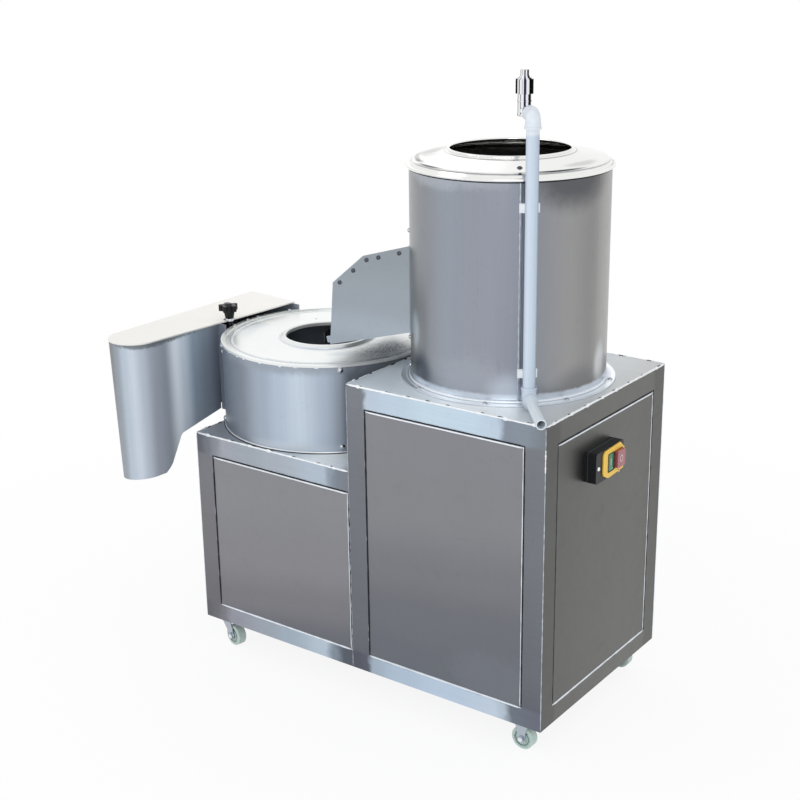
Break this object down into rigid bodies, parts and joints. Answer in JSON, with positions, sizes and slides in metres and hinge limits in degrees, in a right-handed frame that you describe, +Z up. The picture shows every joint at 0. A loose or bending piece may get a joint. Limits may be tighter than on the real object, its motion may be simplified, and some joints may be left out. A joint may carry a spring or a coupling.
{
  "type": "electric potato peeler",
  "caption": "Floor-standing electric potato peeler and slicer: peeling drum with water tap, chute, slicing drum and hood on a stepped stainless cabinet with casters.",
  "frame": {"origin": "centre of the bounding box at floor level, under the wheels", "axes": "+Z up, +X from the hood end to the switch end, +Y from the front with the plain panels to the drain side"},
  "size_m": [1.1354, 0.603, 1.354],
  "materials": {
    "frame_steel": "brushed",
    "panel_steel": "brushed",
    "bright_steel": "satin",
    "polished_steel": "polished",
    "zinc": "zinc plated",
    "pipe_grey": "satin",
    "turned_steel": "turned",
    "cast_iron": "cast",
    "motor_grey": "satin",
    "grit": "coarse grit",
    "rubber": "matte",
    "black_plastic": "satin",
    "yellow_plastic": "gloss",
    "green_plastic": "gloss",
    "red_plastic": "gloss",
    "nylon": "satin"
  },
  "bodies": {
    "cabinet": {"low_frame": "frame_steel", "tall_frame": "frame_steel", "low_top_plate": "bright_steel", "tall_top_plate": "bright_steel", "low_front_panel": "panel_steel", "tall_front_panel": "panel_steel", "left_panel": "panel_steel", "right_panel": "panel_steel", "step_panel": "panel_steel", "rear_panels": "panel_steel", "base_pans": "panel_steel", "cable_gland": "black_plastic", "peel_drum": "frame_steel", "drum_bolts": "zinc", "abrasive_lining": "grit", "drain_tray": "frame_steel", "peel_lid": "polished_steel", "chute_sides": "frame_steel", "chute_roof": "frame_steel", "chute_floor": "frame_steel", "chute_bolts": "zinc", "slicing_drum": "frame_steel", "slicer_lid": "bright_steel", "slicer_bolts": "zinc", "hood_top": "bright_steel", "hood_skirt": "frame_steel", "riser_pipe": "pipe_grey", "inlet_stub": "zinc", "pipe_clamps": "zinc", "tap_body": "polished_steel", "switch_box": "black_plastic", "switch_plate": "yellow_plastic", "motor": "motor_grey", "bearing_housings": "cast_iron", "shaft_bearings": "turned_steel", "drive_belts": "rubber", "caster_plates": "zinc", "caster_fork_2": "zinc", "caster_fork_4": "zinc"},
    "peel_spindle": {"wave_disc": "grit", "peel_shaft": "turned_steel", "disc_nut": "zinc", "peel_pulley": "cast_iron"},
    "slicer_spindle": {"slicer_rotor": "frame_steel", "slicer_shaft": "turned_steel", "slicer_pulley": "cast_iron"},
    "motor_rotor": {"motor_pulley": "cast_iron"},
    "gate": {"outlet_gate": "bright_steel"},
    "knife": {"slicing_knife": "bright_steel", "knife_holder": "frame_steel"},
    "clamp_knob": {"star_knob": "black_plastic"},
    "tap_knob": {"tap_handle": "polished_steel"},
    "start_key": {"start_button": "green_plastic"},
    "stop_key": {"stop_button": "red_plastic"},
    "swivel_1": {"caster_fork_1": "zinc"},
    "wheel_1": {"caster_wheel_1": "nylon"},
    "wheel_2": {"caster_wheel_2": "nylon"},
    "swivel_3": {"caster_fork_3": "zinc"},
    "wheel_3": {"caster_wheel_3": "nylon"},
    "wheel_4": {"caster_wheel_4": "nylon"}
  },
  "joints": [
    {"name": "slicer_spin", "type": "hinge", "parent": "cabinet", "child": "slicer_spindle", "pos_m": [-0.19075, 0.0515, 0.55], "axis": [0, 0, 1], "continuous": true},
    {"name": "peel_spin", "type": "hinge", "parent": "cabinet", "child": "peel_spindle", "pos_m": [0.29375, 0.0475, 0.77], "axis": [0, 0, 1], "continuous": true},
    {"name": "motor_spin", "type": "hinge", "parent": "cabinet", "child": "motor_rotor", "pos_m": [0.15225, -0.0465, 0.415], "axis": [0, 0, 1], "continuous": true},
    {"name": "gate_lift", "type": "slide", "parent": "cabinet", "child": "gate", "axis": [0, 0, 1], "range_m": [0, 0.16]},
    {"name": "knife_adjust", "type": "hinge", "parent": "cabinet", "child": "knife", "pos_m": [-0.4332, -0.01346, 0.63], "axis": [0, 0, 1], "range_deg": [-4, 0]},
    {"name": "clamp_turn", "type": "hinge", "parent": "cabinet", "child": "clamp_knob", "pos_m": [-0.4332, -0.01346, 0.76], "axis": [0, 0, 1], "range_deg": [0, 180]},
    {"name": "tap_turn", "type": "hinge", "parent": "cabinet", "child": "tap_knob", "pos_m": [0.39197, -0.06259, 1.32], "axis": [0, 0, 1], "range_deg": [0, 90]},
    {"name": "start_press", "type": "slide", "parent": "cabinet", "child": "start_key", "axis": [-1, 0, 0], "range_m": [0, 0.003], "stiffness_N_per_m": 600},
    {"name": "stop_press", "type": "slide", "parent": "cabinet", "child": "stop_key", "axis": [-1, 0, 0], "range_m": [0, 0.003], "stiffness_N_per_m": 600},
    {"name": "swivel_turn_1", "type": "hinge", "parent": "cabinet", "child": "swivel_1", "pos_m": [-0.34275, -0.1605, 0.068], "axis": [0, 0, 1], "continuous": true},
    {"name": "wheel_roll_1", "type": "hinge", "parent": "swivel_1", "child": "wheel_1", "pos_m": [-0.3183, -0.1657, 0.025], "axis": [0.2079, 0.9781, 0], "continuous": true},
    {"name": "wheel_roll_2", "type": "hinge", "parent": "cabinet", "child": "wheel_2", "pos_m": [0.47325, -0.1605, 0.025], "axis": [0, 1, 0], "continuous": true},
    {"name": "swivel_turn_3", "type": "hinge", "parent": "cabinet", "child": "swivel_3", "pos_m": [-0.34275, 0.2555, 0.068], "axis": [0, 0, 1], "continuous": true},
    {"name": "wheel_roll_3", "type": "hinge", "parent": "swivel_3", "child": "wheel_3", "pos_m": [-0.3236, 0.27157, 0.025], "axis": [-0.6428, 0.766, 0], "continuous": true},
    {"name": "wheel_roll_4", "type": "hinge", "parent": "cabinet", "child": "wheel_4", "pos_m": [0.47325, 0.2555, 0.025], "axis": [0, 1, 0], "continuous": true}
  ],
  "couplings": [
    {"joint": "peel_spin", "follows": "slicer_spin", "ratio": 1.0714},
    {"joint": "motor_spin", "follows": "slicer_spin", "ratio": 3.2812}
  ]
}
